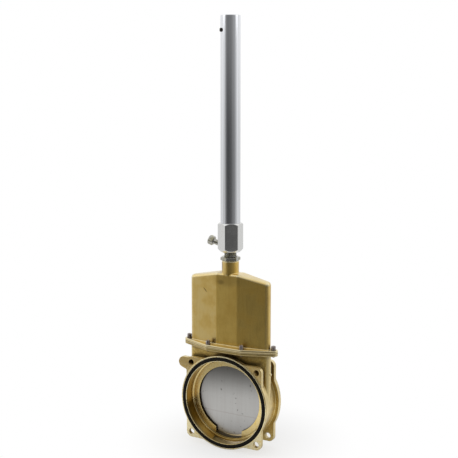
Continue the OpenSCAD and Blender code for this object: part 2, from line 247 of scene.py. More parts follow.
def add(tree, kind, links=None, **settings):
    """Adds a node with its inputs, as values, sockets or nodes, and with its settings. A node
    stands for its first output that is in use."""
    node = tree.nodes.new(kind)
    for name, value in settings.items():
        setattr(node, name, value)
    for socket, value in (links or {}).items():
        if isinstance(value, bpy.types.Node):
            value = next(output for output in value.outputs if output.enabled)
        if isinstance(value, bpy.types.NodeSocket):
            tree.links.new(value, node.inputs[socket])
        else:
            node.inputs[socket].default_value = value
    return node


def per(size):
    """Noise scale whose features are this many millimetres across."""
    return 1 / (size * MM)


def lay_over(tree, skin, tint, measure, span, shares, where=None):
    """Lays a tint over the skin. While the measure crosses the span, the tint's share goes from
    the first of the shares to the second. It counts only as far as where does."""
    share = add(
        tree, "ShaderNodeMapRange",
        {
            "Value": measure, "From Min": span[0], "From Max": span[1],
            "To Min": shares[0], "To Max": shares[1],
        },
        **SMOOTH,
    )
    if where is not None:
        share = add(tree, "ShaderNodeMath", {0: share, 1: where}, operation="MULTIPLY")
    return add(tree, "ShaderNodeMix", {0: share, 6: skin, 7: tint}, **COLOURS)


def lay_painted_shade(tree, skin, tint, reach, span, most, where=None, clouds=None, only_local=False):
    """Lays a painted shade where something within this reach shelters the skin, less where clouds
    are bright. Shade that is only local takes no notice of other pieces."""
    bare = add(
        tree, "ShaderNodeAmbientOcclusion", {"Distance": reach}, samples=8, only_local=only_local
    ).outputs["AO"]
    if clouds is not None:
        bare = add(tree, "ShaderNodeMath", {0: clouds, 1: 0.5, 2: bare}, operation="MULTIPLY_ADD")
    return lay_over(tree, skin, tint, bare, span, (most, 0), where)


def read_surface(tree, place):
    """The height of a point, the surface's shape there and the way that it faces."""
    height = add(tree, "ShaderNodeSeparateXYZ", {0: place}).outputs["Z"]
    shape = add(tree, "ShaderNodeNewGeometry").outputs
    return height, shape, add(tree, "ShaderNodeSeparateXYZ", {0: shape["Normal"]}).outputs


def rub_and_light_edges(tree, skin, tint, shape, facing, span, most):
    """Lays a pale tint along sharp edges, for wear and as a painted highlight, and hardly any on
    those that face down, which get less light and no hand."""
    handled_and_lit = add(
        tree, "ShaderNodeMapRange",
        {"Value": facing["Z"], "From Min": -0.5, "From Max": -0.05, "To Min": 0.15},
        **SMOOTH,
    )
    return lay_over(tree, skin, tint, shape["Pointiness"], span, (0, most), handled_and_lit)


def start_material(name):
    """Makes a material, and gives its empty node tree and the object coordinates in it."""
    material = bpy.data.materials.new(name)
    material.use_nodes = True
    tree = material.node_tree
    tree.nodes.clear()
    return tree, add(tree, "ShaderNodeTexCoord").outputs["Object"]


def close_material(tree, skin, rough, relief, depth, strength, others=METAL, invert=False):
    """Ends a material with its relief, as deep as this, and the shader's other inputs. Its
    roughness is a value or a node, or a measure, its span and what the roughness goes through."""
    if isinstance(rough, tuple):
        measure, span, values = rough
        rough = add(
            tree, "ShaderNodeMapRange",
            {
                "Value": measure, "From Min": span[0], "From Max": span[1],
                "To Min": values[0], "To Max": values[1],
            },
            **SMOOTH,
        )
    bump = add(
        tree, "ShaderNodeBump", {"Height": relief, "Distance": depth, "Strength": strength},
        invert=invert,
    )
    shader = add(
        tree, "ShaderNodeBsdfPrincipled",
        {"Base Color": skin, "Roughness": rough, "Normal": bump, **others},
    )
    add(tree, "ShaderNodeOutputMaterial", {"Surface": shader})


# ---- materials ----


def tumbled_brass(look):
    """Sand-cast brass, tumbled: a satin olive skin with a speckled grain, painted shade where parts
    shade each other and on the body's plate, pale along the edges from wear and a painted
    highlight, and a painted highlight on the ends and on what faces up."""
    tree, place = start_material("tumbled_brass")
    clouds = add(tree, "ShaderNodeTexNoise", {"Vector": place, "Scale": per(22), "Detail": 3})
    grains = add(tree, "ShaderNodeTexNoise", {"Vector": place, "Scale": per(3.4), "Detail": 3})
    height, shape, facing = read_surface(tree, place)
    endways = add(tree, "ShaderNodeMath", {0: facing["X"]}, operation="ABSOLUTE")
    plate_low, plate_high = 102 * MM, 108 * MM
    # Real grains are finer. These are as coarse as they have to be to show.
    skin = lay_over(tree, look.tumbled, look.brass_deep, grains, (0.42, 0.68), (0, 0.55))
    skin = lay_over(tree, skin, look.tarnish_and_shade, clouds, (0.45, 0.7), (0, 0.35))
    # Painted shade: the body's plate, from the band up, is darker.
    skin = lay_over(tree, skin, look.tarnish_and_shade, height, (plate_low, plate_high), (0, 0.4))
    # Painted highlight on what faces up and on the ends, where the light falls.
    skin = lay_over(tree, skin, look.rubbed_and_lit, facing["Z"], (0.5, 0.95), (0, 0.7))
    skin = lay_over(tree, skin, look.rubbed_and_lit, endways, (0.25, 0.7), (0, 0.4))
    # Painted shade where parts shelter each other, mottled by the clouds.
    skin = lay_painted_shade(
        tree, skin, look.tarnish_and_shade, 40 * MM, (0.35, 0.93), 1, clouds=clouds, only_local=True
    )
    # Pale edges: wear, and a painted highlight.
    skin = rub_and_light_edges(tree, skin, look.rubbed_and_lit, shape, facing, (0.503, 0.53), 0.75)
    film = {**METAL, "Coat Weight": 0.5, "Coat Roughness": 0.35}
    close_material(tree, skin, (grains, NOISE_SPAN, (0.32, 0.46)), grains, 0.25 * MM, 0.7, film)


def linished_brass(look):
    """Cast brass linished on a belt: dim clouds with faint upright strokes, pale edges from wear
    and a painted highlight, a painted highlight on the top, a painted sheen on the left face where
    the light falls, paler on the plate, painted shade in the corners, darker on the neck's left
    side, and one short scratch on the left face."""
    tree, place = start_material("linished_brass")
    clouds = add(tree, "ShaderNodeTexNoise", {"Vector": place, "Scale": per(30), "Detail": 4})
    drawn = add(tree, "ShaderNodeMapping", {"Vector": place, "Scale": (1, 1, 0.12)})
    # A belt's strokes are finer. These are as wide as they have to be to show.
    strokes = add(tree, "ShaderNodeTexNoise", {"Vector": drawn, "Scale": per(4), "Detail": 3})
    height, shape, facing = read_surface(tree, place)
    leftward = add(
        tree, "ShaderNodeMapRange",
        {"Value": facing["X"], "From Min": -0.115, "From Max": -0.05, "To Min": 1.0, "To Max": 0.0},
        **SMOOTH,
    )
    plate_top, hood_foot = 126 * MM, 128 * MM
    skin = lay_over(tree, look.brass, look.brass_deep, clouds, (0.4, 0.7), (0, 0.48))
    skin = lay_over(tree, skin, look.brass_deep, strokes, (0.45, 0.75), (0, 0.25))
    # Painted sheen: the left face, which the light falls on, is paler.
    skin = lay_over(tree, skin, look.bloom_and_sheen, clouds, (0.35, 0.65), (0.38, 0.1), leftward)
    # Painted highlight on what faces up.
    skin = lay_over(tree, skin, look.rubbed_and_lit, facing["Z"], (0.35, 0.9), (0, 0.55))
    # Paler below the hood's foot, on the plate.
    skin = lay_over(tree, skin, look.bloom_and_sheen, height, (plate_top, hood_foot), (0.6, 0))
    # Painted shade in the corners.
    skin = lay_painted_shade(tree, skin, look.tarnish_and_shade, 9 * MM, (0.25, 0.75), 0.8)
    # The scratch, a stain on the middle face's top, a darker band across its upper part and a
    # darker patch on the neck's left side: middle and half sizes in mm, turn about Y in degrees and
    # strength.
    for middle, half, turn, strength in (
        ((-55, -49.5, 242.5), (9, 6, 1.6), 45, 0.9),
        ((-14, -53, 264), (11, 6, 7), 0, 0.4),
        ((2, -53, 270), (42, 10, 20), 0, 0.3),
        ((-20, -44, 298), (13, 20, 22), 0, 1.0),
    ):
        near = add(
            tree, "ShaderNodeMapping",
            {
                "Vector": place, "Location": [v * MM for v in middle],
                "Rotation": (0, math.radians(turn), 0), "Scale": [v * MM for v in half],
            },
            vector_type="TEXTURE",
        )
        away = add(tree, "ShaderNodeVectorMath", {0: near}, operation="LENGTH").outputs["Value"]
        skin = lay_over(tree, skin, look.tarnish_and_shade, away, (0.3, 1), (strength, 0))
    # Pale edges: wear, and a painted highlight.
    skin = rub_and_light_edges(tree, skin, look.rubbed_and_lit, shape, facing, (0.502, 0.516), 0.9)
    film = {**METAL, "Coat Weight": 0.5, "Coat Roughness": 0.3}
    close_material(tree, skin, (clouds, NOISE_SPAN, (0.28, 0.38)), strokes, 0.04 * MM, 0.5, film)


def faced_brass(look):
    """Brass faced on a lathe: pale and glossy, its fine rings stretch each highlight into a fan
    about the bore. Walls are darkened with painted shade and paler at their foot, painted shade
    pools at the bottom of the recess, a black painted shadow lies beside the gate, and corners get
    painted shade. The ears outside the rings are satin, the upper deeper."""
    tree, place = start_material("faced_brass")
    rings_end, recess, pocket = 104.5 * MM, 93 * MM, 90 * MM
    height, _, facing = read_surface(tree, place)
    level = add(tree, "ShaderNodeVectorMath", {0: place, 1: (1, 0, 1)}, operation="MULTIPLY")
    radius = add(tree, "ShaderNodeVectorMath", {0: level}, operation="LENGTH").outputs["Value"]
    # Across the rings: outwards on a face, along the bore on a wall.
    across = add(tree, "ShaderNodeVectorMath", {0: level, 1: (0, pocket, 0)}, operation="ADD")
    turned = add(tree, "ShaderNodeMath", {0: radius, 1: rings_end}, operation="LESS_THAN")
    unturned = add(tree, "ShaderNodeMath", {0: 1.0, 1: turned}, operation="SUBTRACT")
    within = add(tree, "ShaderNodeMath", {0: radius, 1: recess}, operation="LESS_THAN")
    outward = add(tree, "ShaderNodeMath", {0: facing["Y"]}, operation="ABSOLUTE")
    faced = add(
        tree, "ShaderNodeMapRange", {"Value": outward, "From Min": 0.4, "From Max": 0.9}, **SMOOTH
    )
    walled = add(tree, "ShaderNodeMath", {0: 1.0, 1: faced}, operation="SUBTRACT")
    ringed = add(tree, "ShaderNodeMath", {0: turned, 1: faced}, operation="MULTIPLY")
    ringed = add(tree, "ShaderNodeMath", {0: ringed, 1: 0.85}, operation="MULTIPLY")
    # A tool's marks are finer. These are as wide as they have to be to show.
    marks = add(tree, "ShaderNodeTexNoise", {"W": radius, "Scale": per(1.5)}, noise_dimensions="1D")
    grains = add(tree, "ShaderNodeTexNoise", {"Vector": place, "Scale": per(4), "Detail": 3})
    # The walls beside the gate: its pocket and the seat rings' bore.
    deep = add(
        tree, "ShaderNodeMapRange",
        {"Value": radius, "From Min": 89 * MM, "From Max": pocket, "To Min": 0.9, "To Max": 0.0},
    )
    # Painted shadow: the walls beside the gate go nearly black.
    gap_shadow = add(tree, "ShaderNodeMath", {0: deep, 1: walled}, operation="MULTIPLY")
    sunk = add(
        tree, "ShaderNodeMapRange",
        {"Value": height, "From Min": -45 * MM, "From Max": 10 * MM, "To Min": 1.0, "To Max": 0.4},
        **SMOOTH,
    )
    skin = lay_over(tree, look.rubbed_and_lit, look.brass, grains, (0.45, 0.7), (0, 0.65))
    skin = lay_over(tree, skin, look.brass, radius, (pocket, recess), (0.5, 0))
    skin = lay_over(tree, skin, look.brass_deep, height, (20 * MM, 80 * MM), (0, 0.6), unturned)
    # Painted shade on the walls, paler at their foot.
    wall = lay_over(tree, look.recess_shade, look.bloom_and_sheen, height, (-85 * MM, -45 * MM), (0.7, 0))
    skin = add(tree, "ShaderNodeMix", {0: faced, 6: wall, 7: skin}, **COLOURS)
    # Painted shade pooled low in the recess.
    skin = lay_over(tree, skin, look.recess_shade, height, (-86 * MM, -70 * MM), (0.75, 0), within)
    skin = add(tree, "ShaderNodeMix", {0: gap_shadow, 6: skin, 7: look.sinter_and_shade}, **COLOURS)
    # Painted shade in the corners, stronger lower down.
    skin = lay_painted_shade(tree, skin, look.tarnish_and_shade, 20 * MM, (0.15, 0.7), 1, sunk)
    rough = add(tree, "ShaderNodeMapRange", {"Value": turned, "To Min": 0.4, "To Max": 0.19})
    rough = add(tree, "ShaderNodeMath", {0: gap_shadow, 1: 0.6, 2: rough}, operation="MULTIPLY_ADD")
    rings = {**METAL, "Anisotropic": ringed, "Tangent": across}
    close_material(tree, skin, rough, marks, 0.02 * MM, 0.5, rings)


def drawn_steel(look):
    """Bright cold-drawn tube: near a mirror, with faint lines along its length."""
    tree, place = start_material("drawn_steel")
    drawn = add(tree, "ShaderNodeMapping", {"Vector": place, "Scale": (1, 1, 0.008)})
    # A die's lines are finer. These are as wide as they have to be to show.
    lines = add(tree, "ShaderNodeTexNoise", {"Vector": drawn, "Scale": per(2.2), "Detail": 3})
    skin = lay_over(tree, look.steel, look.stainless, lines, (0.45, 0.75), (0, 0.4))
    close_material(tree, skin, (lines, NOISE_SPAN, (0.1, 0.2)), lines, 0.02 * MM, 0.4)


def clear_zinc(look):
    """Milled bar with clear zinc plating: an even satin grey, speckled by the plating, with painted
    shade in the corners."""
    tree, place = start_material("clear_zinc")
    # Real specks are finer. These are as coarse as they have to be to show.
    specks = add(tree, "ShaderNodeTexNoise", {"Vector": place, "Scale": per(2), "Detail": 2})
    clouds = add(tree, "ShaderNodeTexNoise", {"Vector": place, "Scale": per(16), "Detail": 2})
    skin = lay_over(tree, look.plating, look.stainless, specks, (0.5, 0.72), (0, 0.35))
    # Painted shade in the corners.
    skin = lay_painted_shade(tree, skin, look.sinter_and_shade, 5 * MM, (0.3, 0.85), 0.9, only_local=True)
    close_material(tree, skin, (clouds, NOISE_SPAN, (0.09, 0.15)), specks, 0.03 * MM, 0.5)


def passivated_zinc(look):
    """Yellow-passivated zinc: an olive tint over grey metal, patchy, with painted shade in the
    corners.
    """
    tree, place = start_material("passivated_zinc")
    clouds = add(tree, "ShaderNodeTexNoise", {"Vector": place, "Scale": per(6), "Detail": 3})
    skin = lay_over(tree, look.stainless, look.passivate, clouds, (0.35, 0.65), (0, 1))
    # Painted shade in the corners.
    skin = lay_painted_shade(tree, skin, look.sinter_and_shade, 4 * MM, (0.3, 0.9), 0.9, only_local=True)
    close_material(tree, skin, (clouds, NOISE_SPAN, (0.18, 0.32)), clouds, 0.05 * MM, 0.3)


def dulled_stainless(look):
    """Stainless screws handled and gone dull: brownish grey with brighter worn spots, and painted
    shade round their feet and in their sockets."""
    tree, place = start_material("dulled_stainless")
    clouds = add(tree, "ShaderNodeTexNoise", {"Vector": place, "Scale": per(4), "Detail": 3})
    skin = lay_over(tree, look.dulled, look.plating, clouds, (0.55, 0.7), (0, 0.6))
    # Painted shade round their feet and in their sockets.
    skin = lay_painted_shade(tree, skin, look.sinter_and_shade, 6 * MM, (0.3, 0.9), 0.9)
    close_material(tree, skin, (clouds, NOISE_SPAN, (0.2, 0.34)), clouds, 0.04 * MM, 0.3)


def brushed_stainless(look):
    """Stainless plate, brushed both ways: soft grey lines, dark specks and one long level scuff,
    with a painted shade that darkens it towards the top and in the corners."""
    tree, place = start_material("brushed_stainless")
    upright_lie = add(tree, "ShaderNodeMapping", {"Vector": place, "Scale": (1, 1, 0.03)})
    level_lie = add(tree, "ShaderNodeMapping", {"Vector": place, "Scale": (0.03, 1, 1)})
    # Brush lines are finer than this. They are as wide as they have to be to show.
    upright_hair = add(
        tree, "ShaderNodeTexNoise", {"Vector": upright_lie, "Scale": per(3), "Detail": 3}
    )
    level_hair = add(
        tree, "ShaderNodeTexNoise", {"Vector": level_lie, "Scale": per(3), "Detail": 3}
    )
    hair = add(
        tree, "ShaderNodeMath", {0: level_hair, 1: 0.3, 2: upright_hair}, operation="MULTIPLY_ADD"
    )
    spots = add(tree, "ShaderNodeTexNoise", {"Vector": place, "Scale": per(7), "Detail": 1})
    height = add(tree, "ShaderNodeSeparateXYZ", {0: place}).outputs["Z"]
    waver = add(tree, "ShaderNodeMath", {0: spots, 1: 3 * MM, 2: height}, operation="MULTIPLY_ADD")
    scuff_height, scuff_half = -32 * MM, 1.2 * MM
    scuff = add(
        tree, "ShaderNodeMath", {0: waver, 1: scuff_height, 2: scuff_half}, operation="COMPARE"
    )
    faint = add(tree, "ShaderNodeMath", {0: scuff, 1: 0.3}, operation="MULTIPLY")
    skin = lay_over(tree, look.stainless, look.dulled, hair, (0.55, 0.8), (0, 0.1))
    skin = lay_over(tree, skin, look.sinter_and_shade, spots, (0.71, 0.78), (0, 0.5))
    skin = add(tree, "ShaderNodeMix", {0: faint, 6: skin, 7: look.dulled}, **COLOURS)
    # Painted shade, darker towards the top.
    skin = lay_over(tree, skin, look.sinter_and_shade, height, (5 * MM, 85 * MM), (0, 0.75))
    # Painted shade in the corners.
    skin = lay_painted_shade(tree, skin, look.sinter_and_shade, 10 * MM, (0.35, 0.8), 0.85)
    close_material(tree, skin, (hair, (0.5, 0.8), (0.28, 0.29)), hair, 0.01 * MM, 0.06)


def nitrile_rubber(look):
    """Moulded black nitrile: deep and nearly matt, with a trace of brass dust."""
    tree, place = start_material("nitrile_rubber")
    dust = add(tree, "ShaderNodeTexNoise", {"Vector": place, "Scale": per(2.5), "Detail": 3})
    skin = lay_over(tree, look.rubber, look.fibre, dust, (0.55, 0.8), (0, 0.1))
    dull = {"Specular IOR Level": 0.12}
    close_material(tree, skin, (dust, NOISE_SPAN, (0.5, 0.65)), dust, 0.04 * MM, 0.4, dull)


def pressed_fibre(look):
    """Pressed fibre soaked with oil: dull olive brown, mottled by its strands."""
    tree, place = start_material("pressed_fibre")
    strands = add(tree, "ShaderNodeTexNoise", {"Vector": place, "Scale": per(2), "Detail": 4})
    skin = lay_over(tree, look.fibre, look.tarnish_and_shade, strands, (0.35, 0.65), (0, 0.4))
    close_material(tree, skin, 0.7, strands, 0.1 * MM, 0.5, {})


def sintered_bronze(look):
    """Sintered bronze of a breather, black with oil: a rough grain of tiny beads."""
    tree, place = start_material("sintered_bronze")
    beads = add(tree, "ShaderNodeTexVoronoi", {"Vector": place, "Scale": per(0.8)}).outputs
    skin = add(
        tree, "ShaderNodeMix", {0: beads["Distance"], 6: look.sinter_and_shade, 7: look.rubber}, **COLOURS
    )
    # Beads stand proud in their middles, where the distance is least.
    close_material(tree, skin, 0.45, beads["Distance"], 0.2 * MM, 0.6, invert=True)


FINISH_MAKERS = {
    maker.__name__: maker
    for maker in (
        tumbled_brass, linished_brass, faced_brass, drawn_steel, clear_zinc, passivated_zinc,
        dulled_stainless, brushed_stainless, nitrile_rubber, pressed_fibre, sintered_bronze,
    )
}


def finish_named(name):
    """The material of that name, made the first time that it is asked for."""
    if name not in bpy.data.materials:
        FINISH_MAKERS[name](bpy.context.scene.knife_gate.finish)
    return bpy.data.materials[name]


# ---- meshes ----

# How far a hexagon eases its corners, and where it meets a turned end.
CORNER_EASE, END_EASE = 1.4 * MM, 0.8 * MM


def linked(name, data):
    """A new object in the scene."""
    thing = bpy.data.objects.new(name, data)
    bpy.context.scene.collection.objects.link(thing)
    return thing


def lay_piece(name, mesh, finishes, nodes):
    """Adds a smooth-shaded piece that rides the valve's body and stands for CAD nodes."""
    mesh.name = name
    mesh.materials.clear()
    for finish in finishes:
        mesh.materials.append(finish_named(finish))
    mesh.shade_smooth()
    piece = linked(name, mesh)
    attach(piece, VALVE)
    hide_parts(*nodes)
    return piece


def let_go(holder):
    """The plain mesh that a scratch object's modifiers make. The object goes, and they with it."""
    graph = bpy.context.evaluated_depsgraph_get()
    made = bpy.data.meshes.new_from_object(holder.evaluated_get(graph))
    bpy.data.objects.remove(holder)
    return made


def with_modifiers(mesh, steps):
    """The mesh that a stack of modifiers, given as (kind, settings), makes of this one."""
    holder = linked("holder", mesh)
    for kind, settings in steps:
        modifier = holder.modifiers.new(kind.title(), kind)
        for name, value in settings.items():
            setattr(modifier, name, value)
    return let_go(holder)


def cast_copy(node, grain, passes, triangles):
    """A copy of a solid with its edges and corners rounded as a casting's are."""
    bm = bmesh.new()
    bm.from_mesh(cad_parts[node].data)
    bmesh.ops.remove_doubles(bm, verts=bm.verts, dist=1e-6)
    mesh = bpy.data.meshes.new(node)
    bm.to_mesh(mesh)
    bm.free()
    skin = with_modifiers(
        mesh,
        [
            ("REMESH", {"mode": "VOXEL", "voxel_size": grain, "adaptivity": 0.0}),
            ("SMOOTH", {"factor": 0.5, "iterations": passes}),
        ],
    )
    made = sum(len(face.vertices) - 2 for face in skin.polygons)
    return with_modifiers(skin, [("DECIMATE", {"ratio": min(1.0, triangles / made)})])


def ends(node):
    """The heights of a solid's lower and upper end, in mm."""
    return [corner.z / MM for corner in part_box(node)]


def softmin(a, b, reach):
    """The smaller of two lengths, eased over where they meet."""
    overlap = max(reach - abs(a - b), 0) / reach
    return min(a, b) - overlap * overlap * reach / 4


def hexagon(angle, flats):
    """Distance from a hexagon's centre to its edge, its corners slightly rounded."""
    off = (angle + math.pi / 6) % (math.pi / 3) - math.pi / 6
    near = flats / 2 / math.cos(off)
    far = flats / 2 / math.cos(math.pi / 3 - abs(off))
    return softmin(near, far, CORNER_EASE)


def rounded(outline):
    """Rounds the corners of a closed outline, and gives its points with their flats."""
    steps = 4
    whole = [(*point, 0, 0)[:4] for point in outline]
    points = []
    for i, (r, z, corner, flats) in enumerate(whole):
        here = Vector((r, z)) * MM
        before = Vector(whole[i - 1][:2]) * MM - here
        after = Vector(whole[(i + 1) % len(whole)][:2]) * MM - here
        if not corner:
            points.append((here, flats * MM))
            continue
        reach = corner * MM / math.tan(before.angle(after) / 2)
        reach = min(reach, 0.45 * before.length, 0.45 * after.length)
        start, end = here + before.normalized() * reach, here + after.normalized() * reach
        for k in range(steps + 1):
            t = k / steps
            curve = start * (1 - t) ** 2 + here * (2 * t * (1 - t)) + end * t**2
            points.append((curve, flats * MM))
    return points


def lathe(outline, segments, turn=0.0, step=None):
    """Turns a closed outline about Z. Each point is (radius, height) in mm, then what rounds its
    corner and the width of the hexagon that limits it, where it has them. A turned hexagon is
    cut at each step along its sides."""
    points = []
    corners = rounded(outline)
    for (here, flats), (after, after_flats) in zip(corners, corners[1:] + corners[:1]):
        cuts = max(1, math.ceil((after - here).length / step)) if step and after_flats else 1
        points += [(here.lerp(after, k / cuts), flats) for k in range(cuts)]
    bm = bmesh.new()
    rings = []
    for k in range(segments):
        angle = 2 * math.pi * k / segments
        ring = []
        for point, flats in points:
            r = softmin(point.x, hexagon(angle - turn, flats), END_EASE) if flats else point.x
            ring.append(bm.verts.new((r * math.cos(angle), r * math.sin(angle), point.y)))
        rings.append(ring)
    for ring, after in zip(rings, rings[1:] + rings[:1]):
        for i, (point, _) in enumerate(points):
            j = (i + 1) % len(points)
            if point.x or points[j][0].x:
                bm.faces.new((ring[i], after[i], after[j], ring[j]))
    bmesh.ops.remove_doubles(bm, verts=bm.verts, dist=1e-7)
    bmesh.ops.dissolve_degenerate(bm, edges=bm.edges, dist=1e-7)
    bmesh.ops.recalc_face_normals(bm, faces=bm.faces)
    mesh = bpy.data.meshes.new("lathed")
    bm.to_mesh(mesh)
    bm.free()
    return mesh


# ---- node trees for what repeats or winds ----


def open_tree(name, sockets):
    """A geometry node tree with a Geometry input and the named ones, each with its default. One
    without a default takes an object. Gives the tree and its inputs."""
    kinds = {float: "NodeSocketFloat", int: "NodeSocketInt", type(None): "NodeSocketObject"}
    tree = bpy.data.node_groups.new(name, "GeometryNodeTree")
    for way in ("OUTPUT", "INPUT"):
        tree.interface.new_socket("Geometry", in_out=way, socket_type="NodeSocketGeometry")
    for label, default in sockets.items():
        socket = tree.interface.new_socket(label, in_out="INPUT", socket_type=kinds[type(default)])
        if default is not None:
            socket.default_value = default
    return tree, add(tree, "NodeGroupInput").outputs


def close_tree(tree, geometry, finish):
    """Realizes what a tree has made, gives it its finish and sends it out."""
    real = add(tree, "GeometryNodeRealizeInstances", {"Geometry": geometry})
    smooth = add(tree, "GeometryNodeSetShadeSmooth", {"Geometry": real})
    dressed = add(
        tree, "GeometryNodeSetMaterial", {"Geometry": smooth, "Material": finish_named(finish)}
    )
    add(tree, "NodeGroupOutput", {"Geometry": dressed})
    return tree


def grown(tree, mesh, values):
    """The plain mesh that a node tree makes of a mesh, with its inputs set by name."""
    holder = linked("holder", mesh)
    modifier = holder.modifiers.new("Nodes", "NODES")
    modifier.node_group = tree
    for item in tree.interface.items_tree:
        if item.in_out == "INPUT" and item.name in values:
            modifier[item.identifier] = values[item.name]
    return let_go(holder)


def scatter_tree(name, finish):
    """Puts one object on every point, each turned by a different amount about Z."""
    tree, given = open_tree(name, {"Part": None, "Turn Seed": 1})
    part = add(tree, "GeometryNodeObjectInfo", {"Object": given["Part"]})
    turn = add(
        tree, "FunctionNodeRandomValue",
        {"Min": 0.0, "Max": 2 * math.pi, "Seed": given["Turn Seed"]}, data_type="FLOAT",
    )
    about = add(tree, "ShaderNodeCombineXYZ", {"Z": turn.outputs["Value"]})
    points = add(tree, "GeometryNodeMeshToPoints", {"Mesh": given["Geometry"]})
    parts = add(
        tree, "GeometryNodeInstanceOnPoints",
        {"Points": points, "Instance": part.outputs["Geometry"], "Rotation": about},
    )
    return close_tree(tree, parts, finish)


def wound_tree(name, finish):
    """Winds a wire round Z and adds it to what is given. With three sides it is the ridge of a
    screw thread, and with more a spring's round wire."""
    tree, given = open_tree(
        name,
        {
            "Radius": 3 * MM, "Pitch": 1 * MM, "Start": 0.0, "Length": 4 * MM, "Wire": 0.5 * MM,
            "Sides": 3,
        },
    )
    turns = add(tree, "ShaderNodeMath", {0: given["Length"], 1: given["Pitch"]}, operation="DIVIDE")
    winding = add(
        tree, "GeometryNodeCurveSpiral",
        {
            "Resolution": 48, "Rotations": turns, "Start Radius": given["Radius"],
            "End Radius": given["Radius"], "Height": given["Length"],
        },
    )
    height = add(tree, "ShaderNodeCombineXYZ", {"Z": given["Start"]})
    raised = add(tree, "GeometryNodeTransform", {"Geometry": winding, "Translation": height})
    section = add(
        tree, "GeometryNodeCurvePrimitiveCircle",
        {"Resolution": given["Sides"], "Radius": given["Wire"]},
    )
    wire = add(
        tree, "GeometryNodeCurveToMesh",
        {"Curve": raised, "Profile Curve": section, "Fill Caps": True},
    )
    both = add(tree, "GeometryNodeJoinGeometry", {0: given["Geometry"]})
    tree.links.new(wire.outputs[0], both.inputs[0])
    return close_tree(tree, both, finish)


# ---- operators, one for each piece or group of like pieces ----


class KNIFEGATE_OT_castings(bpy.types.Operator):
    """Make the brass body and bonnet with their cast edges"""

    bl_idname = "knife_gate.castings"
    bl_label = "Castings"

    def execute(self, context):
        sizes = context.scene.knife_gate.casting
        body = cast_copy("valve_body", sizes.body_grain, sizes.body_passes, sizes.triangles)
        lay_piece(
            "body_casting", body, ["tumbled_brass", "faced_brass"], ["valve_body"]
        )
        self.face_on_lathe(body)
        bonnet = cast_copy("bonnet", sizes.bonnet_grain, sizes.bonnet_passes, sizes.triangles)
        lay_piece("bonnet_casting", bonnet, ["linished_brass"], ["bonnet"])
        return {"FINISHED"}

    def face_on_lathe(self, body):
        """Gives the second finish to the recesses, the bore and both flange faces."""
        recess, ears_top, skin = 92.4 * MM, 104 * MM, 1.3 * MM
        low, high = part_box("valve_body")
        for face in body.polygons:
            across = math.hypot(face.center.x, face.center.z)
            outermost = face.center.y < low.y + skin or face.center.y > high.y - skin
            if across < recess or (outermost and face.center.z < ears_top):
                face.material_index = 1


class KNIFEGATE_OT_seats(bpy.types.Operator):
    """Make the two seat rings with their eased edges"""

    bl_idname = "knife_gate.seats"
    bl_label = "Seat Rings"

    def execute(self, context):
        sizes = context.scene.knife_gate.casting
        for node in ("front_seat_ring", "rear_seat_ring"):
            ring = cast_copy(node, sizes.seat_grain, sizes.seat_passes, sizes.triangles)
            lay_piece(node + "_turned", ring, ["faced_brass"], [node])
        return {"FINISHED"}


class KNIFEGATE_OT_fasteners(bpy.types.Operator):
    """Set the six socket screws with their washers and thread tips"""

    bl_idname = "knife_gate.fasteners"
    bl_label = "Plate Screws"

    def execute(self, context):
        sizes = context.scene.knife_gate.fastener
        head, high, shank = sizes.head / 2 / MM, sizes.head_height / MM, sizes.shank / 2 / MM
        low, top = (corner.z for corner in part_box(SCREWS[0]))
        drop, core = (low - top) / MM, shank - RIDGE * sizes.pitch / MM
        flats = sizes.socket / MM
        outline = [
            (0, -3.6), (shank, -3.4, 0, flats), (shank, -0.4, 0, flats), (flats * 0.62, 0, 0.1),
            (head, 0, 1.1), (head, -high, 0.3), (core, -high), (core, drop + 0.6),
            (core - 0.8, drop), (0, drop),
        ]
        screw = grown(
            wound_tree("screw_thread", "dulled_stainless"), lathe(outline, 48),
            {
                "Radius": core * MM, "Pitch": sizes.pitch, "Start": drop * MM + sizes.pitch / 2,
                "Length": 4 * sizes.pitch, "Wire": RIDGE * sizes.pitch,
            },
        )
        self.set_on_points("plate_screws", screw, SCREWS, 1, sizes.turn_seed)
        low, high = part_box(WASHERS[0])
        outer, thick, inner = (high.x - low.x) / 2 / MM, (high.z - low.z) / MM, shank + 0.2
        outline = [(inner, 0), (outer, 0, 0.3), (outer, thick, 0.4), (inner, thick, 0.2)]
        washer = lathe(outline, 48)
        self.set_on_points("plate_washers", washer, WASHERS, 0, sizes.turn_seed + 1)
        return {"FINISHED"}

    def set_on_points(self, name, mesh, nodes, end, seed):
        """Repeats one mesh on the axes of these nodes, from their lower (0) or upper (1) end."""
        part = linked(name + "_one", mesh)
        places = []
        for node in nodes:
            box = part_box(node)
            middle = (box[0] + box[1]) / 2
            places.append((middle.x, middle.y, box[end].z))
        points = bpy.data.meshes.new(name + "_places")
        points.from_pydata(places, [], [])
        tree = scatter_tree(name + "_on_points", "dulled_stainless")
        made = grown(tree, points, {"Part": part, "Turn Seed": seed})
        bpy.data.objects.remove(part)
        lay_piece(name, made, ["dulled_stainless"], nodes)


